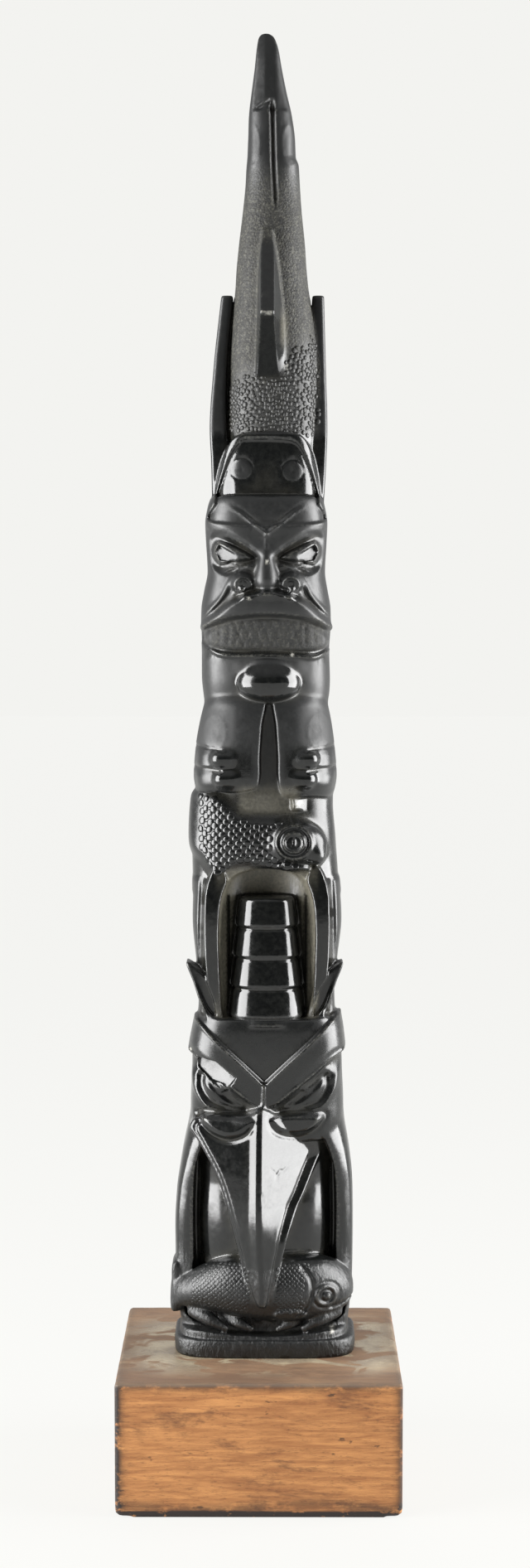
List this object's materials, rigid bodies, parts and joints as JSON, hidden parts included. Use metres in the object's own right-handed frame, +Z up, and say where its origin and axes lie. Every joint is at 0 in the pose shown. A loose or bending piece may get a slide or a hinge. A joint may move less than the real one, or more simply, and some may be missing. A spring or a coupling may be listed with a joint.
{
  "type": "totem pole",
  "caption": "Model totem pole carved in black argillite, with a salmon, raven, sea creature, bear and finned whale, on a wooden block plinth.",
  "frame": {"origin": "middle of the plinth's underside", "axes": "+Z up the pole, the carving faces -Y"},
  "size_m": [0.076, 0.07, 0.392],
  "materials": {
    "argillite": "polished black argillite stone, with a satin gloss and dull dusty hollows",
    "plinth_wood": "worn orange-brown stained wood with horizontal grain"
  },
  "bodies": {
    "root": {"carved_pole": "argillite", "wooden_plinth": "plinth_wood"}
  },
  "joints": []
}
